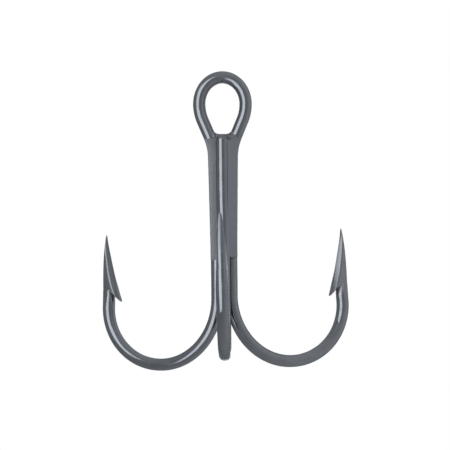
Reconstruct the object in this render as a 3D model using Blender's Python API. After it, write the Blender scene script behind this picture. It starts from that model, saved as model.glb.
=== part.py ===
"""A brazed treble fishing hook: two bent wires and the filler that joins them.

Run with: blender --background --python part.py

The model is built standing on its three bends, with the shank axis on Z, the ground at z = 0
and the single hook towards -Y. An empty then carries it so that the origin is where the line
or split ring bears: the inner side of the eye's crown. Lengths below are in millimetres.
"""
import math

import bmesh
import bpy
from mathutils import Vector

MM = 0.001

# Wire and shank
WIRE_RADIUS = 1.05
LEG_OFFSET = 1.36             # from the shank axis to each wire's centre, at the bends
LEG_SPREAD = 0.245            # how much further apart the two eye legs are at the neck
LEG_BOTTOM = 13.5             # lowest level section of a straight shank leg
SPREAD_START = 20.8           # height where the eye legs begin to part

# Bends: half an ellipse from the shank leg to the point leg
BEND_HALF_WIDTH = 10.79
BEND_DEPTH = 9.97
POINT_LEAN = math.radians(2.9)
BEND_CENTRE = BEND_DEPTH + WIRE_RADIUS
ARM_AZIMUTH = math.radians(30.0)
FRONT_AZIMUTH = math.radians(-90.0)
BEND_START = 0.8              # the wire leaves the straight shank this far above the bend's centre
BENDS_TILT = math.radians(0.9)   # the three bends lean a little to one side of the shank, as brazed

# Point and barb, in the hook's plane: distance from the shank axis, height over the bend's centre
TIP = (23.0, 12.75)
BARB_TIP = (20.3, 1.17)
NOTCH = (22.5, 3.1)
NOTCH_FLOOR_LENGTH = 2.3
NOTCH_STEP = 0.12             # from the top of the notch's floor to the first ring of the point
POINT_HOLLOW = 0.12           # how hollow the inner edge of the point is
POINT_FULLNESS = 0.5          # exponent of the taper seen from outside: 1 is a cone
ROUND_SHARE = (0.46, 0.36)    # part of the point's depth that is round, at the tip and at the barb
FLANK_EXPONENT = 1.15         # 1 is a flat ground flank
POINT_CROWDING = 1.5          # rings lie closer together towards the tip

# Eye
EYE_HALF_WIDTH = 3.91
EYE_CROWN = 4.53
EYE_TAPER = math.radians(22.8)
EYE_SIDE_RADIUS = 7.2
NECK_RADIUS = 10.2
EYE_CENTRE = 44.38

# Third wire and filler
PLAIN_SHANK_TOP = 38.5        # the domed end of the single hook's shank
FILLER_CLEARANCE = 0.035
SEAM_BOTTOM = 18.2
SEAM_FULL = 21.8
SEAM_FULL_TOP = 36.3
SEAM_TOP = 38.0
TOP_FILL_SHARE = 0.6          # the front seams grow shallower over their top end
CORE_TOP = 37.1
SADDLE_BOTTOM = 37.18
SADDLE_TOP = 39.2
SADDLE_FRONT = -0.24          # how far the saddle reaches forward of the shank axis
SADDLE_REAR_SHARE = 0.85      # its reach round the wires at the back, as a share of that at the front
FILL_ANGLE = math.radians(74.0)      # how far a bead reaches round the wires on each side of it
FILL_ANGLE_END = math.radians(24.0)
FILL_SAG = 0.16                      # how hollow a bead's face is
NARROW_ANGLE = math.radians(3.5)   # where filler starts, from the line between two wires' centres

# How finely the shapes are divided
SIDES = 16
BEND_STEPS = 26
NOTCH_STEPS = 5
POINT_STEPS = 10
CURVE_STEPS = 6
CROWN_STEPS = 10
DOME_STEPS = 4
FILLER_STEPS = 14
SECTION_STEPS = 4

LEG_PLANE = LEG_OFFSET * math.sin(ARM_AZIMUTH)
LEG_X = LEG_OFFSET * math.cos(ARM_AZIMUTH)
FRONT_AXIS = (0.0, -LEG_OFFSET)
EYE_SEAT = EYE_CENTRE + EYE_CROWN - WIRE_RADIUS


# ---------------------------------------------------------------- meshes

def mix(a, b, t):
    return a + (b - a) * t


def smooth_step(low, high, value):
    t = min(max((value - low) / (high - low), 0.0), 1.0)
    return t * t * (3.0 - 2.0 * t)


def loft(name, rings, material, parent):
    """A closed body through rings of points; the ends are flat, or points if a ring has one point."""
    mesh = bmesh.new()
    made = [[mesh.verts.new(Vector(point) * MM) for point in ring] for ring in rings]
    for lower, upper in zip(made, made[1:]):
        count = max(len(lower), len(upper))
        for i in range(count):
            j = (i + 1) % count
            below = [lower[i % len(lower)], lower[j % len(lower)]]
            above = [upper[j % len(upper)], upper[i % len(upper)]]
            face = []
            for corner in below + above:
                if corner not in face:
                    face.append(corner)
            mesh.faces.new(face)
    if len(made[0]) > 1:
        mesh.faces.new(list(reversed(made[0])))
    if len(made[-1]) > 1:
        mesh.faces.new(made[-1])
    bmesh.ops.triangulate(mesh, faces=mesh.faces[:])
    if mesh.calc_volume(signed=True) < 0.0:
        bmesh.ops.reverse_faces(mesh, faces=mesh.faces[:])
    data = bpy.data.meshes.new(name)
    mesh.to_mesh(data)
    mesh.free()
    data.shade_smooth()
    data.set_sharp_from_angle(angle=math.radians(35.0))
    data.materials.append(material)
    body = bpy.data.objects.new(name, data)
    bpy.context.collection.objects.link(body)
    body.parent = parent
    return body


def metal(name, colour, roughness):
    material = bpy.data.materials.new(name)
    material.use_nodes = True
    shader = material.node_tree.nodes["Principled BSDF"]
    shader.inputs["Base Color"].default_value = (*colour, 1.0)
    shader.inputs["Metallic"].default_value = 1.0
    shader.inputs["Roughness"].default_value = roughness
    return material


# ---------------------------------------------------------------- one hook: bend, point leg, point

def ring_angles():
    return [math.tau * i / SIDES for i in range(SIDES)]


def bend_rings():
    """Rings round the bend from the shank leg, as (distance, height over the bend's centre, sideways)."""
    last = 2.0 * math.pi + math.atan(math.tan(POINT_LEAN) * BEND_DEPTH / BEND_HALF_WIDTH)
    middle = LEG_OFFSET + BEND_HALF_WIDTH
    rings = []
    for step in range(BEND_STEPS + 1):
        angle = mix(math.pi, last, step / BEND_STEPS)
        start = BEND_START if angle < 1.5 * math.pi else 0.0
        depth = BEND_DEPTH + start
        centre = (middle + BEND_HALF_WIDTH * math.cos(angle), start + depth * math.sin(angle))
        outward = Vector((math.cos(angle) / BEND_HALF_WIDTH, math.sin(angle) / depth)).normalized()
        rings.append([
            (centre[0] + WIRE_RADIUS * math.cos(a) * outward.x,
             centre[1] + WIRE_RADIUS * math.cos(a) * outward.y,
             WIRE_RADIUS * math.sin(a))
            for a in ring_angles()])
    return rings


def point_leg_centre(height):
    """Distance from the shank axis of the point leg's centre at a height over the bend's centre."""
    return LEG_OFFSET + 2.0 * BEND_HALF_WIDTH - height * math.tan(POINT_LEAN)


def notched_leg_rings():
    """The stretch under the barb, where the barb's cut leaves a floor on the inner side."""
    rings = []
    for step in range(1, NOTCH_STEPS + 1):
        up = step / NOTCH_STEPS
        height = mix(NOTCH[1] - NOTCH_FLOOR_LENGTH, NOTCH[1] - NOTCH_STEP, up)
        centre = point_leg_centre(height)
        full = centre - WIRE_RADIUS
        floor = mix(full, NOTCH[0], up * up)
        ring = []
        for a in ring_angles():
            distance = centre + WIRE_RADIUS * math.cos(a)
            sideways = WIRE_RADIUS * math.sin(a)
            ring.append((max(distance, floor), height, sideways))
        rings.append(ring)
    return rings


def point_outer_edge(height):
    """The point's outer edge: along the leg at first, then curving in to the tip."""
    start = NOTCH[1]
    along = (height - start) / (TIP[1] - start)
    leg_edge = point_leg_centre(height) + WIRE_RADIUS
    tip_gap = point_leg_centre(TIP[1]) + WIRE_RADIUS - TIP[0]
    return leg_edge - tip_gap * along ** 4


def point_inner_edge(height):
    """The slightly hollow inner edge, from the tip down to the barb's tip."""
    along = (TIP[1] - height) / (TIP[1] - BARB_TIP[1])
    return mix(TIP[0], BARB_TIP[0], along) + 4.0 * POINT_HOLLOW * along * (1.0 - along)


def point_rings():
    """Rings from the barb up to the tip. The lowest one hangs down to the barb's tip on its inner side."""
    rings = []
    for step in range(POINT_STEPS):
        along = (1.0 - step / POINT_STEPS) ** POINT_CROWDING
        height = mix(TIP[1], NOTCH[1], along)
        half_thickness = WIRE_RADIUS * along ** POINT_FULLNESS
        outer = point_outer_edge(height)
        inner = point_inner_edge(height)
        if step == 0:
            inner = BARB_TIP[0]
        depth = outer - point_inner_edge(height)
        round_depth = depth * mix(ROUND_SHARE[0], ROUND_SHARE[1], along)
        middle = outer - round_depth
        ring = []
        for a in ring_angles():
            c = math.cos(a)
            s = math.sin(a)
            if c >= 0.0:
                ring.append((middle + round_depth * c, height, half_thickness * s))
                continue
            reach = abs(c) ** (2.0 / FLANK_EXPONENT)
            sideways = half_thickness * math.copysign(abs(s) ** (2.0 / FLANK_EXPONENT), s)
            distance = middle - (middle - inner) * reach
            drop = 0.0
            if step == 0 and distance < NOTCH[0]:
                drop = (NOTCH[1] - BARB_TIP[1]) * (NOTCH[0] - distance) / (NOTCH[0] - BARB_TIP[0])
            ring.append((distance, height - drop, sideways))
        rings.append(ring)
    rings.append([(TIP[0], TIP[1], 0.0)])
    return rings


def hook_rings(azimuth, mirrored=False):
    """The whole hook from its shank leg to its tip, turned to its place round the shank."""
    side = -1.0 if mirrored else 1.0
    placed = []
    for flat_ring in bend_rings() + notched_leg_rings() + point_rings():
        ring = []
        for distance, height, sideways in flat_ring:
            x = side * (distance * math.cos(azimuth) - sideways * math.sin(azimuth))
            y = distance * math.sin(azimuth) + sideways * math.cos(azimuth)
            ring.append((x * math.cos(BENDS_TILT) - height * math.sin(BENDS_TILT), y,
                         BEND_CENTRE + x * math.sin(BENDS_TILT) + height * math.cos(BENDS_TILT)))
        placed.append(ring)
    return placed


# ---------------------------------------------------------------- eye and shank legs

def eye_leg_x(height):
    """Half the distance between the two eye legs' centres, up to the eye's straight sides."""
    neck_top_x, neck_bottom = neck_bottom_point()
    if height <= SPREAD_START:
        return LEG_X
    if height <= neck_bottom:
        return mix(LEG_X, neck_top_x, (height - SPREAD_START) / (neck_bottom - SPREAD_START))
    rise = min(height - neck_bottom, NECK_RADIUS * math.sin(EYE_TAPER))
    arc = neck_top_x + NECK_RADIUS - math.sqrt(NECK_RADIUS ** 2 - rise ** 2)
    return arc + max(height - neck_bottom - rise, 0.0) * math.tan(EYE_TAPER)


def neck_bottom_point():
    """Where the neck's arc meets the straight legs, as (half spacing, height)."""
    top_x = LEG_X + LEG_SPREAD
    side_x = EYE_HALF_WIDTH - EYE_SIDE_RADIUS * (1.0 - math.cos(EYE_TAPER))
    side_z = EYE_CENTRE - EYE_SIDE_RADIUS * math.sin(EYE_TAPER)
    arc_x = NECK_RADIUS * (1.0 - math.cos(EYE_TAPER))
    straight_z = (side_x - top_x - arc_x) / math.tan(EYE_TAPER)
    return top_x, side_z - straight_z - NECK_RADIUS * math.sin(EYE_TAPER)


def eye_slope(height):
    """The lean of an eye leg outwards from vertical, in radians."""
    step = 0.01
    return math.atan((eye_leg_x(height + step) - eye_leg_x(height - step)) / (2.0 * step))


def right_half_of_eye():
    """Centre points and upward angles of the right leg and half of the eye, from the bend to the crown."""
    neck = neck_bottom_point()[1]
    third = (neck - SPREAD_START) / 3.0
    points = []
    for height in (LEG_BOTTOM, SPREAD_START, SPREAD_START + third, SPREAD_START + 2.0 * third):
        points.append((eye_leg_x(height), height, eye_slope(height)))
    for step in range(CURVE_STEPS + 1):
        lean = EYE_TAPER * step / CURVE_STEPS
        height = neck + NECK_RADIUS * math.sin(lean)
        points.append((eye_leg_x(height), height, lean))
    for step in range(CURVE_STEPS):
        lean = EYE_TAPER * (1.0 - step / (CURVE_STEPS - 1))
        points.append((EYE_HALF_WIDTH - EYE_SIDE_RADIUS * (1.0 - math.cos(lean)),
                       EYE_CENTRE - EYE_SIDE_RADIUS * math.sin(lean), lean))
    for step in range(1, CROWN_STEPS + 1):
        angle = 0.5 * math.pi * step / CROWN_STEPS
        lean = -math.atan2(EYE_HALF_WIDTH * math.sin(angle), EYE_CROWN * math.cos(angle))
        points.append((EYE_HALF_WIDTH * math.cos(angle), EYE_CENTRE + EYE_CROWN * math.sin(angle), lean))
    return points


def eye_rings():
    """Rings from the right leg over the crown to the left leg, matched to the right hook's first ring."""
    rings = []
    for x, z, lean in right_half_of_eye():
        across = Vector((math.cos(lean), 0.0, -math.sin(lean)))
        ring = []
        for a in ring_angles():
            turned = math.pi + ARM_AZIMUTH - a
            offset = across * (WIRE_RADIUS * math.cos(turned))
            ring.append((x + offset.x, LEG_PLANE + WIRE_RADIUS * math.sin(turned), z + offset.z))
        rings.append(ring)
    left = [[(-x, y, z) for x, y, z in ring] for ring in reversed(rings[:-1])]
    return rings + left


def double_hook(material, parent):
    right = hook_rings(ARM_AZIMUTH)
    left = hook_rings(ARM_AZIMUTH, mirrored=True)
    return loft("double_hook_wire", list(reversed(right)) + eye_rings() + left, material, parent)


def single_hook(material, parent):
    hook = hook_rings(FRONT_AZIMUTH)
    first = hook[0]
    shank = []
    for height in (LEG_BOTTOM, PLAIN_SHANK_TOP - WIRE_RADIUS):
        shank.append([(x, y, height) for x, y, z in first])
    for step in range(1, DOME_STEPS):
        angle = 0.5 * math.pi * step / DOME_STEPS
        height = PLAIN_SHANK_TOP - WIRE_RADIUS * (1.0 - math.sin(angle))
        shank.append([
            (FRONT_AXIS[0] + (x - FRONT_AXIS[0]) * math.cos(angle),
             FRONT_AXIS[1] + (y - FRONT_AXIS[1]) * math.cos(angle), height)
            for x, y, z in first])
    shank.append([(FRONT_AXIS[0], FRONT_AXIS[1], PLAIN_SHANK_TOP)])
    return loft("single_hook_wire", list(reversed(hook)) + shank, material, parent)


# ---------------------------------------------------------------- filler

def wire_wall(centre, stretch, direction):
    """A point on a wire's wall, with the filler's clearance, in a level section."""
    reach = WIRE_RADIUS + FILLER_CLEARANCE
    return Vector((centre[0] + reach * stretch * direction.x, centre[1] + reach * direction.y))


def bead_section(first, second, stretch, fill_angle, outward):
    """The filler between two wires, from their narrowest gap out to a slightly hollow face."""
    along = (Vector(second) - Vector(first)).normalized()
    one = []
    two = []
    for step in range(SECTION_STEPS + 1):
        angle = mix(NARROW_ANGLE, fill_angle, step / SECTION_STEPS)
        one.append(wire_wall(first, stretch[0], math.cos(angle) * along + math.sin(angle) * outward))
        two.append(wire_wall(second, stretch[1], -math.cos(angle) * along + math.sin(angle) * outward))
    face = []
    for step in range(1, SECTION_STEPS):
        t = step / SECTION_STEPS
        sag = 4.0 * FILL_SAG * t * (1.0 - t) * math.sin(fill_angle)
        face.append(one[-1].lerp(two[-1], t) - sag * outward)
    return one + face + list(reversed(two))


def leg_section(side, height):
    """Centre and level stretch of one eye leg at a height."""
    return (side * eye_leg_x(height), LEG_PLANE), 1.0 / math.cos(eye_slope(height))


def seam_fill(height):
    """How far a bead reaches round the wires: it runs out thin at its lower end."""
    return mix(FILL_ANGLE_END, FILL_ANGLE, smooth_step(SEAM_BOTTOM, SEAM_FULL, height))


def front_seam(name, side, material, parent):
    rings = []
    for step in range(FILLER_STEPS + 1):
        height = mix(SEAM_BOTTOM, SEAM_TOP, step / FILLER_STEPS)
        leg, stretch = leg_section(side, height)
        along = Vector((leg[0] - FRONT_AXIS[0], leg[1] - FRONT_AXIS[1])).normalized()
        outward = Vector((side * along.y, -abs(along.x)))
        fill = seam_fill(height) * mix(1.0, TOP_FILL_SHARE, smooth_step(SEAM_FULL_TOP, SEAM_TOP, height))
        section = bead_section(FRONT_AXIS, leg, (1.0, stretch), fill, outward)
        rings.append([(p.x, p.y, height) for p in section])
    return loft(name, rings, material, parent)


def rear_seam(material, parent):
    rings = []
    for step in range(FILLER_STEPS + 1):
        height = mix(SEAM_BOTTOM, CORE_TOP, step / FILLER_STEPS)
        left, stretch = leg_section(-1.0, height)
        right = leg_section(1.0, height)[0]
        section = bead_section(left, right, (stretch, stretch), seam_fill(height), Vector((0.0, 1.0)))
        rings.append([(p.x, p.y, height) for p in section])
    return loft("braze_seam_rear", rings, material, parent)


def core(material, parent):
    """The rod of filler that the three wires enclose."""
    rings = []
    for step in range(FILLER_STEPS + 1):
        height = mix(SEAM_BOTTOM, CORE_TOP, step / FILLER_STEPS)
        left, stretch = leg_section(-1.0, height)
        right = leg_section(1.0, height)[0]
        wires = [(FRONT_AXIS, 1.0), (right, stretch), (left, stretch)]
        ring = []
        for index, (centre, widen) in enumerate(wires):
            towards_last = Vector(wires[index - 1][0]) - Vector(centre)
            towards_next = Vector(wires[(index + 1) % 3][0]) - Vector(centre)
            first_angle = math.atan2(towards_last.y, towards_last.x)
            turn = towards_last.angle_signed(towards_next)
            inset = math.copysign(NARROW_ANGLE, turn)
            for part in range(SECTION_STEPS + 1):
                angle = first_angle - mix(inset, turn - inset, part / SECTION_STEPS)
                ring.append(wire_wall(centre, widen, Vector((math.cos(angle), math.sin(angle)))))
        rings.append([(p.x, p.y, height) for p in ring])
    return loft("braze_core", rings, material, parent)


def saddle(material, parent):
    """The filler pooled between the parting legs, whose top is the floor of the eye."""
    rings = []
    front = math.asin((LEG_PLANE - SADDLE_FRONT) / (WIRE_RADIUS + FILLER_CLEARANCE))
    for step in range(SECTION_STEPS + 1):
        height = mix(SADDLE_BOTTOM, SADDLE_TOP, step / SECTION_STEPS)
        leg, stretch = leg_section(1.0, height)
        right = []
        for part in range(CURVE_STEPS + 1):
            angle = mix(-front, front * SADDLE_REAR_SHARE, part / CURVE_STEPS)
            right.append(wire_wall(leg, stretch, Vector((-math.cos(angle), math.sin(angle)))))
        left = [Vector((-p.x, p.y)) for p in right]
        ring = right + list(reversed(left))
        rings.append([(p.x, p.y, height) for p in ring])
    return loft("braze_saddle", rings, material, parent)


def build():
    for item in list(bpy.data.objects):
        bpy.data.objects.remove(item, do_unlink=True)
    hook = bpy.data.objects.new("hook_frame", None)
    bpy.context.collection.objects.link(hook)
    hook.location = (0.0, -LEG_PLANE * MM, -EYE_SEAT * MM)
    wire = metal("black_nickel_wire", (0.13, 0.14, 0.155), 0.27)
    filler = metal("black_nickel_braze", (0.15, 0.16, 0.175), 0.34)
    double_hook(wire, hook)
    single_hook(wire, hook)
    front_seam("braze_seam_left", -1.0, filler, hook)
    front_seam("braze_seam_right", 1.0, filler, hook)
    rear_seam(filler, hook)
    core(filler, hook)
    saddle(filler, hook)


build()
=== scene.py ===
"""The looks of a brazed treble hook: its two wires, the braze between them, and a studio.

Lengths below are in millimetres, in the hook's own standing frame: the shank axis is Z, the
ground under the bends is z = 0 and the single hook points to -Y. ORIGIN carries that frame to
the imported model's, whose origin is the inner side of the eye's crown.
"""
import math

import bpy
import numpy as np
from mathutils import Matrix, Vector


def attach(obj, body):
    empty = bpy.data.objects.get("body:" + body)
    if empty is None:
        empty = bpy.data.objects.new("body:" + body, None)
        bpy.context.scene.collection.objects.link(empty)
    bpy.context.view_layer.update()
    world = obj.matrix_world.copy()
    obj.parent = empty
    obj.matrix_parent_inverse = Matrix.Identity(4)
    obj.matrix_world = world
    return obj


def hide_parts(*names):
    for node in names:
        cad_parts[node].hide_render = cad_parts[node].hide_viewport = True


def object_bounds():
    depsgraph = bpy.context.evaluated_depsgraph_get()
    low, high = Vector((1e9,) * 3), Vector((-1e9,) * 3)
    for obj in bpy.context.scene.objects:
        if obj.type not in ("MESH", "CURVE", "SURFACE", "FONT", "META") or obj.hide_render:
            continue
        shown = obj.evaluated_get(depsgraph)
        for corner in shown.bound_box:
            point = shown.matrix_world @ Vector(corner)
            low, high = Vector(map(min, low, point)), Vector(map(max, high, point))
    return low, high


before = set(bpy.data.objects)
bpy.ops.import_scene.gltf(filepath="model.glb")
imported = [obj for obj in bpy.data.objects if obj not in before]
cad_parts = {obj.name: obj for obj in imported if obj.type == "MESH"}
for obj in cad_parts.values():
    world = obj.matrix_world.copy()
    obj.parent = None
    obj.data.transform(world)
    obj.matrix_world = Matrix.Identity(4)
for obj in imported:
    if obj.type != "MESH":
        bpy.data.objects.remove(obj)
cad_low, cad_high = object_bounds()

MM = 0.001

# Wire and shank
WIRE_RADIUS = 1.05
LEG_OFFSET = 1.36                       # of each wire from the shank axis
LEG_SPREAD = 0.245                      # how far each leg has moved out at the neck
LEG_BOTTOM = 13.5                       # where the shank's rings start above the bends
SPREAD_START = 20.8                     # where the legs start to part
ARM_AZIMUTH = math.radians(30.0)        # of the right hook, and the left one mirrors it
FRONT_AZIMUTH = math.radians(-90.0)
PLAIN_SHANK_TOP = 38.42                 # the third wire's upper end
DOME_HEIGHT = 0.25
DOME_BLUNTNESS = 0.7                    # 1 is an ellipse, and less is flatter
SHANK_DRIFT = -0.1                      # how far the third wire leans to one side at its upper end
DRIFT_LENGTH = 10.0                     # over which that lean comes in

# Bends
BEND_HALF_WIDTH = 10.79
BEND_DEPTH = 9.97
BEND_START = 0.8                        # how far above the bend's centre the shank side starts to curve
POINT_LEAN = math.radians(2.9)
BENDS_TILT = math.radians(0.9)          # of all three bends to one side
BEND_CENTRE = BEND_DEPTH + WIRE_RADIUS

# Point and barb, in the hook's plane: distance from the shank axis, height over the bend's centre
TIP = (23.0, 12.75)
BARB_TIP = (20.4, 1.17)
NOTCH = (22.0, 3.4)
NOTCH_FLOOR_LENGTH = 0.6                # over which the leg's inner side climbs to the notch
NOTCH_FLOOR_CURVE = 1.3
PRESSED_LENGTH = 2.8                    # of the leg under the notch that the cutting has pressed
NOTCH_STEP = 0.08                       # from the leg's last ring up to the point's first
BARB_EDGE = 0.13                        # width of the strip along the barb's lower edge that carries a painted highlight
BARB_EDGE_SHARE = 0.45                  # and its greatest share of the first step along the point
PRESSED_SIDE = 0.11                     # depth of the flats pressed beside the barb, over the radius
PRESSED_SIDE_TURN = math.radians(-6.0)
PRESSED_FLANK = 0.07
PRESSED_FLANK_TURN = math.radians(52.0)
POINT_HOLLOW = 0.12                     # greatest depth of the inner edge's hollow
POINT_BULGE = 0.05                      # and height of the outer edge's bulge
POINT_FULLNESS = 0.43                   # power by which the point thins to its tip
POINT_CROWDING = 1.4                    # how much closer together the rings are towards the tip
TIP_CURVE = 4                           # power by which the outer edge falls in to the tip
SHAPE_CURVE = 3                         # power by which the section changes from the tip to the barb
POINT_THICKNESS = 0.94 * WIRE_RADIUS    # half the thickness at the barb
BACK_THICKNESS = 0.9                    # of the back, as a share of the thickness at the ridge
BACK_DEPTH = (0.5, 0.95)                # of its curve, over its half thickness, at the tip and the barb
RIDGE_TURN = math.radians(50.0)         # how far the ground flank turns from the side, past the ridge
FLANK_TURN = math.radians(58.0)         # how far it has turned where the spine starts
SPINE_TURN = math.radians(79.0)         # and along the narrow spine at the inner edge
RIDGE_SHARE = 0.42                      # the part of the flank over which the ridge is rounded
SPINE_SHARE = (-0.2, 0.26)              # the part that is spine, at the tip and at the barb
SPINE_BLEND = (0.94, 1.06)              # over which the flank passes into the spine

# Eye
EYE_HALF_WIDTH = 3.91
EYE_CROWN = 4.53
EYE_TAPER = math.radians(22.8)
EYE_SIDE_RADIUS = 7.2
NECK_RADIUS = 10.2                      # of each leg's bend out into the eye
EYE_CENTRE = 44.38
EYE_LEG_GAP = 0.05                      # by which a leg's rings stop short of the crown's first
EYE_LEG_CROWDING = 1.5                  # how much closer together a leg's rings are towards the crown

# Braze pooled under the eye
SADDLE_TOP = 39.23
SADDLE_BOTTOM = 37.4
RAMP_BOTTOM = 38.1                      # where the ramp from its crest ends, inside the third wire
RAMP_RUN = 2.1                          # how far the ramp runs forward, over its fall
RAMP_HIDDEN = -0.7                      # the front of the pool inside the braze beside that wire
HIDDEN_START = (0.6, 1.0)               # aside from the axis, where it leaves the inside of that wire
HIDDEN_SHARE = 0.87                     # of that wire's radius squared that the ramp ends within
SADDLE_FRONT = 0.78                     # how far in front of the eye wires' plane its crest lies
SADDLE_REAR = 0.8
SADDLE_RUN = 0.5                        # half the thickness of its run up each eye wire
SADDLE_FALL = 0.5                       # how far its top falls to the rear
SADDLE_INSET = 0.3                      # of its two ends from the eye wires' centres
SADDLE_MERGE = (0.95, 1.75)             # aside from the axis, where its front passes under the wires
CREST_RADIUS = 0.09
CORNER_RADIUS = 1.2                     # of the braze's run up each eye wire
CORNER_REACH = 0.97                     # the most of that radius that is used
CLIMB_SHARE = 0.6                       # of that radius over which the run thins

# Braze down the shank
LEFT_SPAN = (17.6, 38.7)                # the lower and upper end of each bead
RIGHT_SPAN = (17.95, 39.15)
REAR_SPAN = (17.9, 38.3)
LEFT_ROUNDING = 0.3                     # over which the front beads' upper ends round off
RIGHT_ROUNDING = 0.08
END_LENGTH = 0.6                        # over which their lower ends do
LEFT_SEED = 1.0                         # of each bead's waver
RIGHT_SEED = 2.0
REAR_SEED = 4.0
WAVES = ((1.0, 1.9, 1.0), (1.0, 4.3, 2.7), (0.6, 9.1, 5.1))  # size, rate per millimetre, shift by seed
COAT_CORNER = 0.24                      # radius of the coat's outer corner
COAT_CORNER_CENTRE = (-0.85, -0.475)    # from the leg's axis
COAT_START_TURN = math.radians(130.0)
COAT_TURN = (math.radians(27.0), math.radians(38.0))  # the left coat's normal at its two sides
COAT_WAVER = 0.012
CLIMB_WIDTH = 0.3                       # over which the coat climbs the third wire's side
MEETING = np.array([-0.765, -2.045])    # where the coat ends on that wire
MEETING_TOP = np.array([-0.5, -1.0])    # and above the wire's end
UNDER = np.array([-0.6, -1.06])         # its hidden edge under the wire
UNDER_TOP = np.array([-0.4, -0.5])
HIDDEN_MIDDLE = np.array([-0.35, -0.2])  # a corner inside the channel between the wires
HIDDEN_IN_LEG = np.array([0.5, 0.1])    # and one inside the leg, from its axis
SHOULDER_LEAN = 1.5                     # over which the braze leans back to MEETING_TOP
SHOULDER_END = 0.1                      # the height below the bead's top where it has done so
POOL_X = 1.2                            # where a front bead's upper end closes, in the pool
SOFTNESS = 0.012                        # of the corner between the coat and the ramp, squared
REAR_FILL = (math.radians(8.0), math.radians(74.0))  # the rear bead's fullness at its foot and above
REAR_FILL_LENGTH = 2.6                  # over which it fills
REAR_WAVER = math.radians(1.8)
BRAZE_OVERLAP = 0.02                    # how far the braze runs under the wires' walls

LEG_PLANE = LEG_OFFSET * math.sin(ARM_AZIMUTH)
LEG_X = LEG_OFFSET * math.cos(ARM_AZIMUTH)
EYE_SEAT = EYE_CENTRE + EYE_CROWN - WIRE_RADIUS
ORIGIN = Vector((0.0, -LEG_PLANE, -EYE_SEAT)) * MM

# Mesh fineness
SIDES = 64
QUARTER = SIDES // 4
BEND_STEPS = 110
FLOOR_STEPS = 30
POINT_STEPS = 46
LEG_STEPS = 60
CROWN_STEPS = 34
DOME_STEPS = 10
BRAZE_STEPS = 150
FACE_STEPS = 16
WALL_STEPS = 8
SADDLE_STEPS = 72
TOP_STEPS = 16
CREST_STEPS = 5
RAMP_STEPS = 24
FOOT_STEPS = 5
BOTTOM_STEPS = 7
REAR_STEPS = 8
SLOPE_STEP = 0.01
SHARP_ANGLE = math.radians(19.0)

# Wear, painted highlights, painted light and grinding, where 1 is the full effect
CUT_FACE_HIGHLIGHT = 1.0                          # painted highlight on the faces that the barb's cutting left, a bright line along its lower edge
UNDER_BARB_PAINTED_LIGHT = 0.9                          # painted light on the leg's inner side under the barb, which lifts the shade in that hollow
LEG_GROUND = 2.0                        # that side is rougher than the ground flanks
RIDGE_HIGHLIGHT = 0.12                       # painted highlight along the ridges of the point
RIDGE_HIGHLIGHT_WIDTH = 1.5                  # in sides of the section
EDGE_WEAR = 0.3                         # of the point's inner edge
FLANK_FADE = 3.0                        # sides over which the grinding fades at the ridge
ALL_GROUND = (0.1, 0.4)                 # the part of the point over which the back becomes ground too


# ---------------------------------------------------------------- small helpers

def mix(a, b, t):
    """From a to b as t goes from 0 to 1."""
    return a + (b - a) * t


def smooth_step(low, high, value):
    """From 0 at low to 1 at high, level at both ends."""
    t = min(max((value - low) / (high - low), 0.0), 1.0)
    return t * t * (3.0 - 2.0 * t)


def wobble(height, seed):
    """A slow waver between -1 and 1 along the shank, as a hand-fed braze has."""
    total = sum(size * math.sin(rate * height + shift * seed) for size, rate, shift in WAVES)
    return total / sum(size for size, rate, shift in WAVES)


def loft(name, rings, material, finish=None):
    """A closed body through rings of points, with each point's drawn-wire coordinates and finish.

    A ring of one point closes an end as a tip; a longer end ring is closed by a fan round its middle.
    The finish of a point is how much of the wear and painted light colour it takes and how ground it is.
    """
    rings = [np.array(ring, float) for ring in rings]
    finish = plain_finish(rings) if finish is None else list(finish)
    for end in (0, -1):
        if len(rings[end]) > 1:
            middle = rings[end].mean(axis=0)[None]
            rings.insert(0 if end == 0 else len(rings), middle)
            finish.insert(0 if end == 0 else len(finish), np.zeros((1, 2)))
    middles = np.array([ring.mean(axis=0) for ring in rings])
    lengths = np.concatenate([[0.0], np.cumsum(np.linalg.norm(np.diff(middles, axis=0), axis=1))])
    starts = np.concatenate([[0], np.cumsum([len(ring) for ring in rings])])
    faces = []
    for k in range(len(rings) - 1):
        low, high = len(rings[k]), len(rings[k + 1])
        count = max(low, high)
        for i in range(count):
            j = (i + 1) % count
            corners = [starts[k] + i % low, starts[k] + j % low,
                       starts[k + 1] + j % high, starts[k + 1] + i % high]
            faces.append([int(c) for n, c in enumerate(corners) if c not in corners[:n]])
    points = np.concatenate(rings)
    if signed_volume(points, faces) < 0.0:
        faces = [list(reversed(face)) for face in faces]
    mesh = bpy.data.meshes.new(name)
    mesh.from_pydata([tuple(Vector(point) * MM + ORIGIN) for point in points], [], faces)
    drawn = []
    for ring, length in zip(rings, lengths):
        turns = np.arange(len(ring)) * math.tau / len(ring)
        girth = np.linalg.norm(ring - np.roll(ring, 1, axis=0), axis=1).sum() / math.tau
        drawn.append(np.stack([girth * np.cos(turns), girth * np.sin(turns),
                               np.full(len(ring), length)], axis=1))
    add_attribute(mesh, "drawn", "FLOAT_VECTOR", "vector", np.concatenate(drawn))
    finish = np.concatenate(finish)
    add_attribute(mesh, "wear_and_painted_light", "FLOAT", "value", finish[:, 0])
    add_attribute(mesh, "ground", "FLOAT", "value", finish[:, 1])
    mesh.shade_smooth()
    mesh.set_sharp_from_angle(angle=SHARP_ANGLE)
    mesh.materials.append(material)
    piece = bpy.data.objects.new(name, mesh)
    bpy.context.collection.objects.link(piece)
    return piece


def plain_finish(rings):
    """The finish of rings that have no wear, painted light or grinding."""
    return [np.zeros((len(ring), 2)) for ring in rings]


def signed_volume(points, faces):
    """Six times the volume that the faces enclose, below 0 where they face inwards."""
    total = 0.0
    for face in faces:
        for i in range(1, len(face) - 1):
            total += np.dot(points[face[0]], np.cross(points[face[i]], points[face[i + 1]]))
    return total


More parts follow.
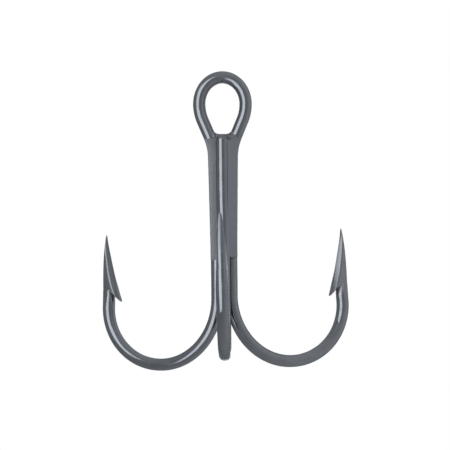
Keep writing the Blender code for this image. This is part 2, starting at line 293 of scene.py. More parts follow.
def add_attribute(mesh, name, kind, field, values):
    """One value per point, which the materials read by name."""
    layer = mesh.attributes.new(name, kind, "POINT")
    layer.data.foreach_set(field, np.ascontiguousarray(values, np.float32).ravel())


# ---------------------------------------------------------------- one hook

TURNS = np.arange(SIDES) * math.tau / SIDES


def bend_rings():
    """Rings round the bend from the shank leg: distance, height over the bend's centre, sideways."""
    last = 2.0 * math.pi + math.atan(math.tan(POINT_LEAN) * BEND_DEPTH / BEND_HALF_WIDTH)
    rings = []
    for step in range(BEND_STEPS + 1):
        angle = mix(math.pi, last, step / BEND_STEPS)
        start = BEND_START if angle < 1.5 * math.pi else 0.0
        depth = BEND_DEPTH + start
        distance = LEG_OFFSET + BEND_HALF_WIDTH * (1.0 + math.cos(angle))
        outward = Vector((math.cos(angle) / BEND_HALF_WIDTH, math.sin(angle) / depth)).normalized()
        across = WIRE_RADIUS * np.cos(TURNS)
        rings.append(np.stack([distance + across * outward.x,
                               start + depth * math.sin(angle) + across * outward.y,
                               WIRE_RADIUS * np.sin(TURNS)], axis=1))
    return rings


def point_leg_centre(height):
    """How far the leg under the point is from the shank axis, at its centre."""
    return LEG_OFFSET + 2.0 * BEND_HALF_WIDTH - height * math.tan(POINT_LEAN)


def pressed_round(depth):
    """The wire's section with two pressed flats on each side, which fade out as depth goes to 0."""
    across = WIRE_RADIUS * np.cos(TURNS)
    sideways = WIRE_RADIUS * np.abs(np.sin(TURNS))
    for turn, press in ((PRESSED_SIDE_TURN, PRESSED_SIDE), (PRESSED_FLANK_TURN, PRESSED_FLANK)):
        over = sideways * math.cos(turn) - across * math.sin(turn) - WIRE_RADIUS * (1.0 - press * depth)
        over = np.maximum(over, 0.0)
        across += over * math.sin(turn)
        sideways -= over * math.cos(turn)
    return across, sideways * np.sign(np.sin(TURNS))


def floor_rings():
    """The leg under the barb, where the barb's cut leaves a hollow on the inner side."""
    top = NOTCH[1] - NOTCH_STEP
    rings = []
    for step in range(FLOOR_STEPS + 1):
        up = step / FLOOR_STEPS
        height = mix(NOTCH[1] - PRESSED_LENGTH, top, up)
        centre = point_leg_centre(height)
        climb = max(1.0 - (top - height) / NOTCH_FLOOR_LENGTH, 0.0)
        floor = mix(centre - WIRE_RADIUS, NOTCH[0], climb ** NOTCH_FLOOR_CURVE)
        across, sideways = pressed_round(up)
        rings.append(np.stack([np.maximum(centre + across, floor), np.full(SIDES, height), sideways],
                              axis=1))
    return rings


def point_outer_edge(height):
    """The point's outer edge, from the shank axis: the leg's line, falling in to the tip."""
    along = (height - NOTCH[1]) / (TIP[1] - NOTCH[1])
    leg_edge = point_leg_centre(height) + WIRE_RADIUS
    tip_gap = point_leg_centre(TIP[1]) + WIRE_RADIUS - TIP[0]
    return leg_edge - tip_gap * along ** TIP_CURVE + 4.0 * POINT_BULGE * along * (1.0 - along)


def point_inner_edge(height):
    """Its inner edge: a shallow hollow from the barb's tip to the point's."""
    along = (TIP[1] - height) / (TIP[1] - BARB_TIP[1])
    return mix(TIP[0], BARB_TIP[0], along) + 4.0 * POINT_HOLLOW * along * (1.0 - along)


def flank_profile(spine_share):
    """The ground flank from the ridge to the inner edge, for a half thickness of 1: (run, thickness)."""
    steps = QUARTER - 2
    run, fall = [0.0], [0.0]
    for step in range(steps):
        share = (step + 0.5) / steps
        turn = RIDGE_TURN * smooth_step(0.0, RIDGE_SHARE, share)
        turn += (FLANK_TURN - RIDGE_TURN) * max(share - RIDGE_SHARE, 0.0) / (1.0 - RIDGE_SHARE)
        spine = smooth_step(SPINE_BLEND[0] - spine_share, SPINE_BLEND[1] - spine_share, share)
        turn = mix(turn, SPINE_TURN, spine)
        run.append(run[-1] + math.cos(turn))
        fall.append(fall[-1] + math.sin(turn))
    return [(r / fall[-1], 1.0 - f / fall[-1]) for r, f in zip(run, fall)]


def point_section(outer, inner, half_thickness, along):
    """One section of the point: a rounded back, two sides and two ground flanks to the inner edge."""
    change = along ** SHAPE_CURVE
    profile = flank_profile(mix(*SPINE_SHARE, change))
    back = BACK_THICKNESS * half_thickness
    depth = back * mix(*BACK_DEPTH, change)
    flank = profile[-1][0] * half_thickness
    squeeze = min(1.0, (outer - inner) / (depth + flank))
    side_start = outer - depth * squeeze
    ridge = inner + flank * squeeze
    half = []
    for step in range(QUARTER + 1):
        angle = 0.5 * math.pi * step / QUARTER
        half.append((mix(side_start, outer, math.cos(angle)), back * math.sin(angle)))
    half.append((0.5 * (side_start + ridge), 0.5 * (back + half_thickness)))
    for run, thickness in profile:
        half.append((mix(ridge, inner, run / profile[-1][0]), half_thickness * thickness))
    return half + [(distance, -sideways) for distance, sideways in reversed(half[1:-1])]


def point_rings():
    """Rings from the barb to the tip. The lowest one hangs down on its inner side to the barb's tip."""
    rings = []
    for step in range(POINT_STEPS):
        along = (1.0 - step / POINT_STEPS) ** POINT_CROWDING
        height = mix(TIP[1], NOTCH[1], along)
        inner = BARB_TIP[0] if step == 0 else point_inner_edge(height)
        section = point_section(point_outer_edge(height), inner,
                                POINT_THICKNESS * along ** POINT_FULLNESS, along)
        ring = []
        for distance, sideways in section:
            hang = 0.0
            if step == 0 and distance < NOTCH[0]:
                hang = (NOTCH[0] - distance) / (NOTCH[0] - BARB_TIP[0])
            ring.append((distance, height - hang * (NOTCH[1] - BARB_TIP[1]), sideways))
        rings.append(np.array(ring))
    rings.append(np.array([(TIP[0], TIP[1], 0.0)]))
    climb = rings[1] - rings[0]
    length = np.linalg.norm(climb, axis=1, keepdims=True)
    rings.insert(1, rings[0] + climb * np.minimum(BARB_EDGE / length, BARB_EDGE_SHARE))
    return rings


def hook_rings(azimuth, mirrored=False):
    """A whole hook from its shank leg to its tip, turned to its place round the shank, and its finish."""
    side = -1.0 if mirrored else 1.0
    flat_rings = bend_rings() + floor_rings() + point_rings()
    first_point = BEND_STEPS + 1 + FLOOR_STEPS + 1
    placed, finish = [], []
    for index, flat in enumerate(flat_rings):
        distance, height, sideways = flat.T
        x = side * (distance * math.cos(azimuth) - sideways * math.sin(azimuth))
        y = distance * math.sin(azimuth) + sideways * math.cos(azimuth)
        placed.append(np.stack([x * math.cos(BENDS_TILT) - height * math.sin(BENDS_TILT), y,
                                BEND_CENTRE + x * math.sin(BENDS_TILT) + height * math.cos(BENDS_TILT)],
                               axis=1))
        finish.append(point_finish(flat, index - first_point))
    return placed, finish


def point_finish(flat, step):
    """Wear on the point's inner edge and tip, painted highlights on ridges and cut faces, painted light
    under the barb, and grinding.

    Steps are counted from the point's first ring, so those of the leg under it are below 0.
    """
    count = len(flat)
    if step < 0:
        if step < -FLOOR_STEPS:
            return np.zeros((count, 2))
        cut = smooth_step(BARB_TIP[1], NOTCH[1] - NOTCH_FLOOR_LENGTH, flat[0][1])
        inner_side = np.clip(-2.0 * np.cos(TURNS), 0.0, 1.0)
        # painted light lifts the shade on the leg's inner side under the barb, which is also rougher
        return np.stack([UNDER_BARB_PAINTED_LIGHT * cut * inner_side, LEG_GROUND * cut * inner_side], axis=1)
    if count == 1:
        return np.array([[1.0, 0.0]])
    from_inner_edge = np.abs(np.arange(SIDES) - SIDES / 2)
    from_ridge = from_inner_edge - QUARTER + 2
    flank = np.clip((QUARTER - 1 - from_inner_edge) / FLANK_FADE, 0.0, 1.0)
    wear_and_painted_light = EDGE_WEAR * np.exp(-from_inner_edge ** 2)
    # a painted highlight runs along each ridge of the point
    wear_and_painted_light = np.maximum(wear_and_painted_light, RIDGE_HIGHLIGHT * np.exp(-(from_ridge / RIDGE_HIGHLIGHT_WIDTH) ** 2))
    # the barb's cut faces take a painted highlight, a bright line along its lower edge
    if step == 0:
        wear_and_painted_light = np.maximum(wear_and_painted_light, CUT_FACE_HIGHLIGHT * flank)
    ground = np.maximum(flank, smooth_step(*ALL_GROUND, step / POINT_STEPS))
    return np.stack([wear_and_painted_light, ground], axis=1)


# ---------------------------------------------------------------- eye and shank legs

def neck_bottom_point():
    """Where the leg starts to curve out into the neck: half the distance between the legs, height."""
    top_x = LEG_X + LEG_SPREAD
    side_x = EYE_HALF_WIDTH - EYE_SIDE_RADIUS * (1.0 - math.cos(EYE_TAPER))
    side_z = EYE_CENTRE - EYE_SIDE_RADIUS * math.sin(EYE_TAPER)
    arc_x = NECK_RADIUS * (1.0 - math.cos(EYE_TAPER))
    straight_z = (side_x - top_x - arc_x) / math.tan(EYE_TAPER)
    return top_x, side_z - straight_z - NECK_RADIUS * math.sin(EYE_TAPER)


NECK_X, NECK_BOTTOM = neck_bottom_point()
EYE_SIDE_BOTTOM = EYE_CENTRE - EYE_SIDE_RADIUS * math.sin(EYE_TAPER)


def eye_leg_x(height):
    """Half the distance between the two eye legs' centres, up to the eye's widest place."""
    if height <= SPREAD_START:
        return LEG_X
    if height <= NECK_BOTTOM:
        return mix(LEG_X, NECK_X, (height - SPREAD_START) / (NECK_BOTTOM - SPREAD_START))
    if height >= EYE_SIDE_BOTTOM:
        rise = EYE_CENTRE - height
        return EYE_HALF_WIDTH - EYE_SIDE_RADIUS + math.sqrt(EYE_SIDE_RADIUS ** 2 - rise ** 2)
    rise = min(height - NECK_BOTTOM, NECK_RADIUS * math.sin(EYE_TAPER))
    arc = NECK_X + NECK_RADIUS - math.sqrt(NECK_RADIUS ** 2 - rise ** 2)
    return arc + max(height - NECK_BOTTOM - rise, 0.0) * math.tan(EYE_TAPER)


def eye_slope(height):
    """How far the eye leg leans out from the shank axis."""
    rise = 2.0 * SLOPE_STEP
    return math.atan((eye_leg_x(height + SLOPE_STEP) - eye_leg_x(height - SLOPE_STEP)) / rise)


def eye_centres():
    """Centre points and leans of the right leg and half of the eye, from the bend to the crown."""
    centres = []
    for step in range(LEG_STEPS):
        share = 1.0 - (1.0 - step / LEG_STEPS) ** EYE_LEG_CROWDING
        height = mix(LEG_BOTTOM, EYE_CENTRE - EYE_LEG_GAP, share)
        centres.append((eye_leg_x(height), height, eye_slope(height)))
    for step in range(CROWN_STEPS + 1):
        angle = 0.5 * math.pi * step / CROWN_STEPS
        lean = -math.atan2(EYE_HALF_WIDTH * math.sin(angle), EYE_CROWN * math.cos(angle))
        height = EYE_CENTRE + EYE_CROWN * math.sin(angle)
        centres.append((EYE_HALF_WIDTH * math.cos(angle), height, lean))
    return centres


def eye_rings():
    """Rings up the right leg, round the eye and down the left leg."""
    rings = []
    turned = math.pi + ARM_AZIMUTH - TURNS
    for x, z, lean in eye_centres():
        across = WIRE_RADIUS * np.cos(turned)
        rings.append(np.stack([x + across * math.cos(lean),
                               LEG_PLANE + WIRE_RADIUS * np.sin(turned),
                               z - across * math.sin(lean)], axis=1))
    left = [ring * np.array([-1.0, 1.0, 1.0]) for ring in reversed(rings[:-1])]
    return rings + left


def double_hook(material):
    """The long wire: right hook, right leg, eye, left leg and left hook."""
    right, right_finish = hook_rings(ARM_AZIMUTH)
    left, left_finish = hook_rings(ARM_AZIMUTH, mirrored=True)
    eye = eye_rings()
    finish = right_finish[::-1] + plain_finish(eye) + left_finish
    return loft("double_hook", right[::-1] + eye + left, material, finish)


def single_hook(material):
    """The third wire: front hook and a plain shank with a blunt, slightly domed end."""
    hook, hook_finish = hook_rings(FRONT_AZIMUTH)
    first = hook[0]
    middle = np.array([SHANK_DRIFT, -LEG_OFFSET])
    shank = []
    for step in range(LEG_STEPS):
        height = mix(LEG_BOTTOM, PLAIN_SHANK_TOP - DOME_HEIGHT, step / (LEG_STEPS - 1))
        drift = SHANK_DRIFT * smooth_step(SPREAD_START, SPREAD_START + DRIFT_LENGTH, height)
        shank.append(np.stack([first[:, 0] - first[:, 0].mean() + drift, first[:, 1],
                               np.full(SIDES, height)], axis=1))
    for step in range(1, DOME_STEPS):
        angle = 0.5 * math.pi * step / DOME_STEPS
        ring = shank[LEG_STEPS - 1].copy()
        ring[:, :2] = middle + (ring[:, :2] - middle) * math.cos(angle) ** DOME_BLUNTNESS
        ring[:, 2] = PLAIN_SHANK_TOP - DOME_HEIGHT * (1.0 - math.sin(angle))
        shank.append(ring)
    shank.append(np.array([[middle[0], middle[1], PLAIN_SHANK_TOP]]))
    return loft("single_hook", hook[::-1] + shank, material, hook_finish[::-1] + plain_finish(shank))


# ---------------------------------------------------------------- braze

def bead_section(first, second, ball, outward):
    """Braze between two wires' walls: a hollow face that meets both smoothly, and its back."""
    first, second = np.array(first), np.array(second)
    gap = np.linalg.norm(second - first)
    along = (second - first) / gap
    reach = WIRE_RADIUS + ball
    cosine = gap / (2.0 * reach)
    sine = math.sqrt(max(1.0 - cosine ** 2, 0.0))
    centre = first + reach * (cosine * along + sine * outward)
    start = math.atan2(*reversed((first - centre)))
    sweep = math.atan2(*reversed((second - centre))) - start
    sweep = (sweep + math.pi) % math.tau - math.pi
    face = []
    for step in range(FACE_STEPS + 1):
        angle = start + sweep * step / FACE_STEPS
        face.append(centre + ball * np.array([math.cos(angle), math.sin(angle)]))
    back_second = wall_arc(second, centre, -along)
    back_first = wall_arc(first, centre, along)
    return face + back_second + back_first[::-1]


def wall_arc(middle, ball_centre, towards):
    """Points just inside a wire's wall, from under the bead's edge to the narrowest gap."""
    edge = ball_centre - middle
    edge = edge / np.linalg.norm(edge)
    points = []
    for step in range(1, WALL_STEPS + 1):
        way = mix(edge, towards, step / WALL_STEPS)
        points.append(middle + (WIRE_RADIUS - BRAZE_OVERLAP) * way / np.linalg.norm(way))
    return points


def ball_radius(gap, fill):
    """The radius of a ball that touches two wires at a fill angle from the line between them."""
    return 0.5 * gap / math.cos(fill) - WIRE_RADIUS


def coat_section(leg, meeting, under, turns):
    """Front braze at one height: a flat coat over the leg, then a climb to the third wire's side.

    It is laid out for the left leg. A turn is how far the surface's normal points away from the
    front, towards the leg's outer side; without turns the coat runs straight to the third wire.
    """
    corner = leg + np.array(COAT_CORNER_CENTRE)
    reach = meeting - corner
    straight = math.atan2(-reach[1], reach[0]) - math.asin(COAT_CORNER / np.linalg.norm(reach))
    turns = turns or (straight, straight)
    face = []
    for step in range(FACE_STEPS + 1):
        turn = mix(COAT_START_TURN, turns[0], step / FACE_STEPS)
        face.append(corner - COAT_CORNER * np.array([math.sin(turn), math.cos(turn)]))
    run = meeting[0] - CLIMB_WIDTH - face[-1][0]
    for step in range(1, FACE_STEPS + 1):
        turn = mix(*turns, (step - 0.5) / FACE_STEPS)
        face.append(face[-1] + run / FACE_STEPS * np.array([1.0, -math.tan(turn)]))
    brink = face[-1]
    bend = brink + 0.5 * CLIMB_WIDTH * np.array([1.0, -math.tan(turns[1])])
    for step in range(1, FACE_STEPS + 1):
        share = step / FACE_STEPS
        face.append(mix(mix(brink, bend, share), mix(bend, meeting, share), share))
    return face + [under, HIDDEN_MIDDLE, leg + HIDDEN_IN_LEG, leg]


def front_bead(name, side, span, rounding, turns, material, seed):
    """The braze down one side of the third wire, from its shoulder under the eye to a blunt end."""
    low, high = span
    rings = []
    for step in range(BRAZE_STEPS + 1):
        share = step / BRAZE_STEPS
        height = mix(low, high, 0.5 - 0.5 * math.cos(math.pi * share))
        leg = np.array([-eye_leg_x(height) + COAT_WAVER * wobble(height, seed), LEG_PLANE])
        below = rounded_end((height - low) / END_LENGTH)
        above = rounded_end((high - height) / rounding)
        groove = np.array([0.5 * side * abs(leg[0]), 0.5 * (LEG_PLANE - LEG_OFFSET)])
        pool = np.array([side * POOL_X, LEG_PLANE])
        back = smooth_step(high - SHOULDER_LEAN, high - SHOULDER_END, height)
        meeting = mix(MEETING, MEETING_TOP, back)
        ramp = LEG_PLANE - SADDLE_FRONT - RAMP_RUN * (SADDLE_TOP - height)
        ring = []
        for point in coat_section(leg, meeting, mix(UNDER, UNDER_TOP, back), turns):
            point = np.array([-side * point[0], soft_max(point[1], ramp)])
            point = mix(pool, mix(groove, point, below), above)
            ring.append((point[0], point[1], height))
        rings.append(ring)
    return loft(name, rings, material)


def soft_max(a, b):
    """The greater of two lengths, with the corner between them rounded."""
    return 0.5 * (a + b + math.sqrt((a - b) ** 2 + SOFTNESS))


def rounded_end(share):
    """Grows from 0 to 1 as the end of a drop does."""
    return math.sqrt(1.0 - (1.0 - min(share, 1.0)) ** 2)


def rear_bead(material):
    """The braze in the groove between the two legs."""
    rings = []
    low, high = REAR_SPAN
    for step in range(BRAZE_STEPS + 1):
        height = mix(low, high, step / BRAZE_STEPS)
        x = eye_leg_x(height)
        fill = mix(*REAR_FILL, smooth_step(low, low + REAR_FILL_LENGTH, height))
        fill += REAR_WAVER * wobble(height, REAR_SEED)
        section = bead_section((-x, LEG_PLANE), (x, LEG_PLANE), ball_radius(2.0 * x, fill),
                               np.array([0.0, 1.0]))
        rings.append([(point[0], point[1], height) for point in section])
    return loft("braze_bead_rear", rings, material)


def crest_height(x):
    """The floor of the eye: level in the middle, then a round run up each wire."""
    wall = eye_leg_x(SADDLE_TOP) - WIRE_RADIUS
    start = wall - CORNER_RADIUS * math.tan(0.25 * math.pi - 0.5 * EYE_TAPER)
    over = min(max(abs(x) - start, 0.0), CORNER_REACH * CORNER_RADIUS)
    return SADDLE_TOP + CORNER_RADIUS - math.sqrt(CORNER_RADIUS ** 2 - over ** 2)


def leg_depth(x, height):
    """Half the eye wire's thickness along Y at a place in the eye's plane, and 0 outside the wire."""
    aside = (abs(x) - eye_leg_x(height)) * math.cos(eye_slope(height))
    return math.sqrt(max(WIRE_RADIUS ** 2 - aside ** 2, 0.0))


def saddle(material):
    """The braze pooled between the parting legs. Its top is the floor of the eye.

    Each ring runs round the pool at one x: over the top from the rear, round the crest, down the ramp
    to the third wire's end, and back underneath.
    """
    rings = []
    reach = eye_leg_x(SADDLE_TOP) - SADDLE_INSET
    for step in range(SADDLE_STEPS + 1):
        x = mix(-reach, reach, step / SADDLE_STEPS)
        top = crest_height(x)
        climb = smooth_step(0.0, CLIMB_SHARE * CORNER_RADIUS, top - SADDLE_TOP)
        front = mix(SADDLE_FRONT, SADDLE_RUN, climb)
        rear = mix(SADDLE_REAR, SADDLE_RUN, climb)
        merge = smooth_step(*SADDLE_MERGE, abs(x))
        ring = []
        for part in range(TOP_STEPS + 1):
            angle = 0.5 * math.pi * part / TOP_STEPS
            ring.append((x, LEG_PLANE + mix(rear, -front + CREST_RADIUS, 1.0 - math.cos(angle)),
                         top - SADDLE_FALL * (1.0 - math.sin(angle))))
        for part in range(1, CREST_STEPS + 1):
            angle = 0.25 * math.pi * part / CREST_STEPS
            ring.append((x, LEG_PLANE - front + CREST_RADIUS * (1.0 - math.sin(angle)),
                         top - CREST_RADIUS * (1.0 - math.cos(angle))))
        edge = ring[-1]
        in_wire = -LEG_OFFSET - math.sqrt(max(HIDDEN_SHARE * WIRE_RADIUS ** 2 - x ** 2, 0.0))
        inside = mix(in_wire, RAMP_HIDDEN, smooth_step(*HIDDEN_START, abs(x)))
        for part in range(1, RAMP_STEPS + 1):
            z = mix(edge[2], RAMP_BOTTOM, part / RAMP_STEPS)
            depth = min(LEG_PLANE - edge[1] + RAMP_RUN * (edge[2] - z), LEG_PLANE - inside)
            depth = mix(depth, max(leg_depth(x, z) - BRAZE_OVERLAP, front), merge)
            ring.append((x, LEG_PLANE - depth, z))
        low = ring[-1]
        for part in range(1, FOOT_STEPS + 1):
            share = part / FOOT_STEPS
            ring.append((x, mix(low[1], LEG_PLANE, share), mix(low[2], SADDLE_BOTTOM, share)))
        for part in range(1, BOTTOM_STEPS + 1):
            ring.append((x, LEG_PLANE + rear * part / BOTTOM_STEPS, SADDLE_BOTTOM))
        for part in range(1, REAR_STEPS):
            z = mix(SADDLE_BOTTOM, top - SADDLE_FALL, part / REAR_STEPS)
            ring.append((x, LEG_PLANE + rear, z))
        rings.append(ring)
    return loft("braze_pool", rings, material)


# ---------------------------------------------------------------- materials

# The two looks. Depths are in millimetres.
WIRE_LOOK = {"dark": (0.118, 0.126, 0.14), "light": (0.15, 0.159, 0.175), "roughness": 0.12,
             "streak_depth": 0.001, "swell_depth": 0.012}
BRAZE_LOOK = {"dark": (0.135, 0.144, 0.158), "light": (0.165, 0.175, 0.192), "roughness": 0.48,
              "streak_depth": 0.0012, "swell_depth": 0.02}
# the colour of wear, and also of the painted highlights and painted light that share its mask
WEAR_AND_PAINTED_LIGHT_COLOUR = (0.3, 0.305, 0.315)
GROUND_ROUGHNESS = 0.18                 # added where the metal is ground
EDGE_TINT = (0.45, 0.455, 0.465)        # the dark plate stays dark where it is seen edge-on

# Noises: scale per millimetre, stretch along the wire, detail
DRAW_LINES = (9.0, 14.0, 4.0)
FINE_LINES = (26.0, 22.0, 2.0)
CLOUDS = (0.9, 2.2, 3.0)
SWELL = (2.1, 2.6, 2.0)
GRAINS = (17.0, 1.4, 2.0)
NOISE_ROUGHNESS = 0.55
FINE_SHARE = 0.5                        # of the fine lines in the streaks' relief

# What a range of a noise is turned into
CLOUD_TONE = (0.3, 0.7, 0.0, 0.6)
LINE_TONE = (0.35, 0.65, 0.0, 0.4)
GRAIN_BREAKUP = (0.35, 0.6, 0.5, 1.0)
LINE_ROUGHNESS = (0.3, 0.7, -0.05, 0.06)
CLOUD_ROUGHNESS = (0.3, 0.7, -0.03, 0.05)  # the last two are added to the look's roughness


def node(tree, kind, **settings):
    """A new shader node with its properties set."""
    made = tree.nodes.new(kind)
    for name, value in settings.items():
        setattr(made, name, value)
    return made


def stretched_noise(tree, source, scale, stretch, detail):
    """Noise on the drawn-wire coordinates, stretched along the wire."""
    mapping = node(tree, "ShaderNodeMapping")
    mapping.inputs["Scale"].default_value = (scale, scale, scale / stretch)
    noise = node(tree, "ShaderNodeTexNoise")
    noise.inputs["Scale"].default_value = 1.0
    noise.inputs["Detail"].default_value = detail
    noise.inputs["Roughness"].default_value = NOISE_ROUGHNESS
    tree.links.new(source, mapping.inputs["Vector"])
    tree.links.new(mapping.outputs["Vector"], noise.inputs["Vector"])
    return noise.outputs["Fac"]


def remap(tree, source, low, high, to_low, to_high):
    """The source's range from low to high turned into another range, and held at its ends."""
    ramp = node(tree, "ShaderNodeMapRange", clamp=True)
    for name, value in (("From Min", low), ("From Max", high), ("To Min", to_low), ("To Max", to_high)):
        ramp.inputs[name].default_value = value
    tree.links.new(source, ramp.inputs["Value"])
    return ramp.outputs["Result"]


def math_node(tree, operation, a, b):
    """A sum or the like of two inputs, each a number or another node's output."""
    made = node(tree, "ShaderNodeMath", operation=operation)
    for socket, value in zip(made.inputs, (a, b)):
        if isinstance(value, (int, float)):
            socket.default_value = value
        else:
            tree.links.new(value, socket)
    return made.outputs[0]


def blend(tree, factor, a, b):
    """From colour a to colour b, each a tuple or another node's output."""
    made = node(tree, "ShaderNodeMix", data_type="RGBA")
    tree.links.new(factor, made.inputs[0])
    for socket, value in zip((made.inputs[6], made.inputs[7]), (a, b)):
        if isinstance(value, tuple):
            socket.default_value = (*value, 1.0)
        else:
            tree.links.new(value, socket)
    return made.outputs[2]


def plated_metal(name, dark, light, roughness, streak_depth, swell_depth):
    """Black nickel on drawn wire: lengthwise draw lines, uneven plate, and wear on the edges, with
    painted highlights and painted light in the same mask.
    """
    material = bpy.data.materials.new(name)
    material.use_nodes = True
    tree = material.node_tree
    shader = tree.nodes["Principled BSDF"]
    shader.inputs["Metallic"].default_value = 1.0
    shader.inputs["Specular Tint"].default_value = (*EDGE_TINT, 1.0)
    drawn = node(tree, "ShaderNodeAttribute", attribute_name="drawn").outputs["Vector"]
    wear_and_painted_light = node(tree, "ShaderNodeAttribute", attribute_name="wear_and_painted_light").outputs["Fac"]
    ground = node(tree, "ShaderNodeAttribute", attribute_name="ground").outputs["Fac"]
    lines = stretched_noise(tree, drawn, *DRAW_LINES)
    fine_lines = stretched_noise(tree, drawn, *FINE_LINES)
    clouds = stretched_noise(tree, drawn, *CLOUDS)
    swell = stretched_noise(tree, drawn, *SWELL)
    grains = stretched_noise(tree, drawn, *GRAINS)

    tone = math_node(tree, "ADD", remap(tree, clouds, *CLOUD_TONE), remap(tree, lines, *LINE_TONE))
    plate = blend(tree, tone, dark, light)
    # wear, painted highlights and painted light lift the plate towards one bright colour, broken up by
    # grains
    wear_and_light_amount = math_node(tree, "MULTIPLY", wear_and_painted_light, remap(tree, grains, *GRAIN_BREAKUP))
    tree.links.new(blend(tree, wear_and_light_amount, plate, WEAR_AND_PAINTED_LIGHT_COLOUR), shader.inputs["Base Color"])

    low, high, less, more = CLOUD_ROUGHNESS
    rough = math_node(tree, "ADD", remap(tree, lines, *LINE_ROUGHNESS),
                      remap(tree, clouds, low, high, roughness + less, roughness + more))
    rough = math_node(tree, "ADD", rough, math_node(tree, "MULTIPLY", ground, GROUND_ROUGHNESS))
    tree.links.new(rough, shader.inputs["Roughness"])

    streaks = math_node(tree, "ADD", lines, math_node(tree, "MULTIPLY", fine_lines, FINE_SHARE))
    relief = node(tree, "ShaderNodeBump")
    relief.inputs["Strength"].default_value = 1.0
    relief.inputs["Distance"].default_value = streak_depth * MM
    tree.links.new(streaks, relief.inputs["Height"])
    swollen = node(tree, "ShaderNodeBump")
    swollen.inputs["Strength"].default_value = 1.0
    swollen.inputs["Distance"].default_value = swell_depth * MM
    tree.links.new(swell, swollen.inputs["Height"])
    tree.links.new(relief.outputs["Normal"], swollen.inputs["Normal"])
    tree.links.new(swollen.outputs["Normal"], shader.inputs["Normal"])
    return material


# ---------------------------------------------------------------- studio

# In metres, apart from the sensor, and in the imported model's frame
AIM = Vector((0.24, -1.88, -24.14)) * MM  # the point at the middle of the picture
CAMERA_DISTANCE = 0.874
CAMERA_YAW = math.radians(0.94)
CAMERA_RISE = math.radians(5.43)        # how far the camera looks up
CAMERA_ROLL = math.radians(0.64)
CAMERA_CLIP = (0.05, 10.0)
VIEW_WIDTH = 75.5 * MM                  # across the picture, at the shank
SENSOR = 36.0

# Lights: where each one stands from AIM, in degrees, and its size and brightness
KEY = {"azimuth": -31.5, "elevation": 0.0, "distance": 1.2, "width": 1.04, "height": 1.6,
       "radiance": 2.9}
BACK_STRIP = {"azimuth": 180.0, "elevation": 5.0, "distance": 1.3, "width": 0.35, "height": 1.4,
              "radiance": 1.9}

# Surround in the reflections: how its level changes with direction, and two dark flags in it
SURROUND_LEVEL = 0.93
SURROUND_SLOPE = (0.2, 0.18, 0.13)
SURROUND_COLOUR = (0.97, 0.99, 1.0, 1.0)
BACKDROP_COLOUR = (1.0, 1.0, 1.0, 1.0)
NEAR_FLAG = {"azimuth": 24.0, "sharpness": 10.0, "strength": 0.2}
FAR_FLAG = {"azimuth": -125.0, "sharpness": 4.0, "strength": 0.13}

FLOOR_SIZE = 1.6                        # half its width
FLOOR_DROP = 0.02 * MM                  # below the lowest bend
FLOOR_COLOUR = (0.8, 0.8, 0.8, 1.0)
FLOOR_FADE = (0.2, 1.2)                 # the distances over which it fades out


def make_camera():
    """The camera that the photo was taken with, as nearly as it could be fitted."""
    right = Vector((math.cos(CAMERA_YAW), math.sin(CAMERA_YAW), 0.0))
    ahead = Vector((-math.sin(CAMERA_YAW) * math.cos(CAMERA_RISE),
                    math.cos(CAMERA_YAW) * math.cos(CAMERA_RISE), math.sin(CAMERA_RISE)))
    up = right.cross(ahead)
    turned_right = right * math.cos(CAMERA_ROLL) - up * math.sin(CAMERA_ROLL)
    turned_up = right * math.sin(CAMERA_ROLL) + up * math.cos(CAMERA_ROLL)
    data = bpy.data.cameras.new("camera")
    data.sensor_width = SENSOR
    data.lens = SENSOR * CAMERA_DISTANCE / VIEW_WIDTH
    data.clip_start, data.clip_end = CAMERA_CLIP
    camera = bpy.data.objects.new("camera", data)
    bpy.context.collection.objects.link(camera)
    axes = Matrix((turned_right, turned_up, -ahead)).transposed().to_4x4()
    camera.matrix_world = Matrix.Translation(AIM - ahead * CAMERA_DISTANCE) @ axes
    bpy.context.scene.camera = camera


def direction(azimuth, elevation):
    """Unit vector from the hook: azimuth 0 is towards the camera's side (-Y), positive to +X."""
    a, e = math.radians(azimuth), math.radians(elevation)
    return Vector((math.sin(a) * math.cos(e), -math.cos(a) * math.cos(e), math.sin(e)))


def softbox(name, azimuth, elevation, distance, width, height, radiance):
    """A rectangular soft light that faces the hook."""
    data = bpy.data.lights.new(name, "AREA")
    data.shape = "RECTANGLE"
    data.size = width
    data.size_y = height
    data.energy = radiance * math.pi * width * height
    lamp = bpy.data.objects.new(name, data)
    bpy.context.collection.objects.link(lamp)
    away = direction(azimuth, elevation)
    lamp.location = AIM + away * distance
    lamp.rotation_mode = "QUATERNION"
    lamp.rotation_quaternion = away.to_track_quat("Z", "Y")
    lamp.visible_camera = False


def along_direction(tree, ray, towards):
    """How much of a ray's direction points a given way."""
    made = node(tree, "ShaderNodeVectorMath", operation="DOT_PRODUCT")
    made.inputs[1].default_value = towards
    tree.links.new(ray, made.inputs[0])
    return made.outputs["Value"]


def flagged(tree, ray, level, azimuth, sharpness, strength):
    """The level with a soft dark patch in one direction."""
    flag = math_node(tree, "MAXIMUM", along_direction(tree, ray, direction(azimuth, 0.0)), 0.0)
    flag = math_node(tree, "MULTIPLY", math_node(tree, "POWER", flag, sharpness), strength)
    return math_node(tree, "SUBTRACT", level, flag)


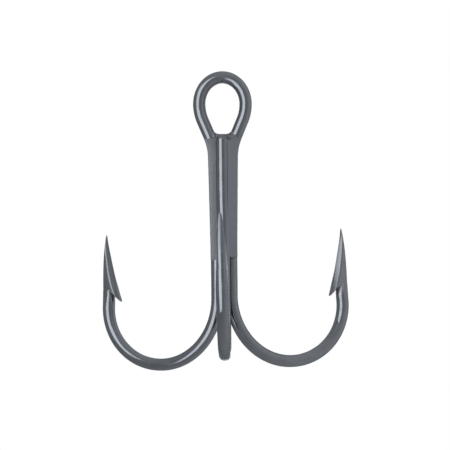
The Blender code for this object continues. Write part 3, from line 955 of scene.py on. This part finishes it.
def make_world():
    """A pale studio: plain white behind the hook, and a soft grey surround in its reflections."""
    world = bpy.data.worlds.new("studio")
    bpy.context.scene.world = world
    world.use_nodes = True
    tree = world.node_tree
    tree.nodes.clear()
    ray = node(tree, "ShaderNodeTexCoord").outputs["Generated"]
    level = math_node(tree, "ADD", along_direction(tree, ray, SURROUND_SLOPE), SURROUND_LEVEL)
    level = flagged(tree, ray, level, **NEAR_FLAG)
    level = flagged(tree, ray, level, **FAR_FLAG)
    surround = node(tree, "ShaderNodeBackground")
    surround.inputs["Color"].default_value = SURROUND_COLOUR
    tree.links.new(level, surround.inputs["Strength"])
    backdrop = node(tree, "ShaderNodeBackground")
    backdrop.inputs["Color"].default_value = BACKDROP_COLOUR
    rays = node(tree, "ShaderNodeLightPath")
    choice = node(tree, "ShaderNodeMixShader")
    tree.links.new(rays.outputs["Is Camera Ray"], choice.inputs[0])
    tree.links.new(surround.outputs[0], choice.inputs[1])
    tree.links.new(backdrop.outputs[0], choice.inputs[2])
    output = node(tree, "ShaderNodeOutputWorld")
    tree.links.new(choice.outputs[0], output.inputs["Surface"])


def make_floor(height):
    """A pale floor that is seen from above only, and fades into the white around it."""
    mesh = bpy.data.meshes.new("floor")
    corners = [(-FLOOR_SIZE, -FLOOR_SIZE, 0.0), (FLOOR_SIZE, -FLOOR_SIZE, 0.0),
               (FLOOR_SIZE, FLOOR_SIZE, 0.0), (-FLOOR_SIZE, FLOOR_SIZE, 0.0)]
    mesh.from_pydata(corners, [], [(0, 1, 2, 3)])
    floor = bpy.data.objects.new("floor", mesh)
    bpy.context.collection.objects.link(floor)
    floor.location = (0.0, 0.0, height)
    floor.visible_glossy = False
    material = bpy.data.materials.new("pale_floor")
    material.use_nodes = True
    tree = material.node_tree
    tree.nodes.clear()
    paint = node(tree, "ShaderNodeBsdfDiffuse")
    paint.inputs["Color"].default_value = FLOOR_COLOUR
    clear = node(tree, "ShaderNodeBsdfTransparent")
    surface = node(tree, "ShaderNodeNewGeometry")
    distance = node(tree, "ShaderNodeVectorMath", operation="LENGTH")
    tree.links.new(surface.outputs["Position"], distance.inputs[0])
    far = remap(tree, distance.outputs["Value"], *FLOOR_FADE, 0.0, 1.0)
    hidden = math_node(tree, "MAXIMUM", far, surface.outputs["Backfacing"])
    choice = node(tree, "ShaderNodeMixShader")
    tree.links.new(hidden, choice.inputs[0])
    tree.links.new(paint.outputs[0], choice.inputs[1])
    tree.links.new(clear.outputs[0], choice.inputs[2])
    output = node(tree, "ShaderNodeOutputMaterial")
    tree.links.new(choice.outputs[0], output.inputs["Surface"])
    mesh.materials.append(material)


# ---------------------------------------------------------------- build

def place(piece, slot, *nodes):
    """Puts a piece in place of its CAD nodes, on the hook's one body."""
    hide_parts(*nodes)
    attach(piece, "root")


def build():
    """All the pieces of the hook. The braze between the wires can't be seen and keeps its CAD mesh."""
    wire = plated_metal("plated_wire", **WIRE_LOOK)
    braze = plated_metal("plated_braze", **BRAZE_LOOK)
    place(double_hook(wire), "plated_wire", "double_hook_wire")
    place(single_hook(wire), "plated_wire", "single_hook_wire")
    left = front_bead("braze_bead_left", -1.0, LEFT_SPAN, LEFT_ROUNDING, COAT_TURN, braze, LEFT_SEED)
    place(left, "plated_braze", "braze_seam_left")
    right = front_bead("braze_bead_right", 1.0, RIGHT_SPAN, RIGHT_ROUNDING, None, braze, RIGHT_SEED)
    place(right, "plated_braze", "braze_seam_right")
    place(rear_bead(braze), "plated_braze", "braze_seam_rear")
    place(saddle(braze), "plated_braze", "braze_saddle")
    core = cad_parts["braze_core"]
    core.data.materials.clear()
    core.data.materials.append(braze)


build()
make_camera()
make_world()
make_floor(cad_low.z - FLOOR_DROP)
softbox("key", **KEY)
softbox("back_strip", **BACK_STRIP)
bpy.context.scene.view_settings.view_transform = "Standard"
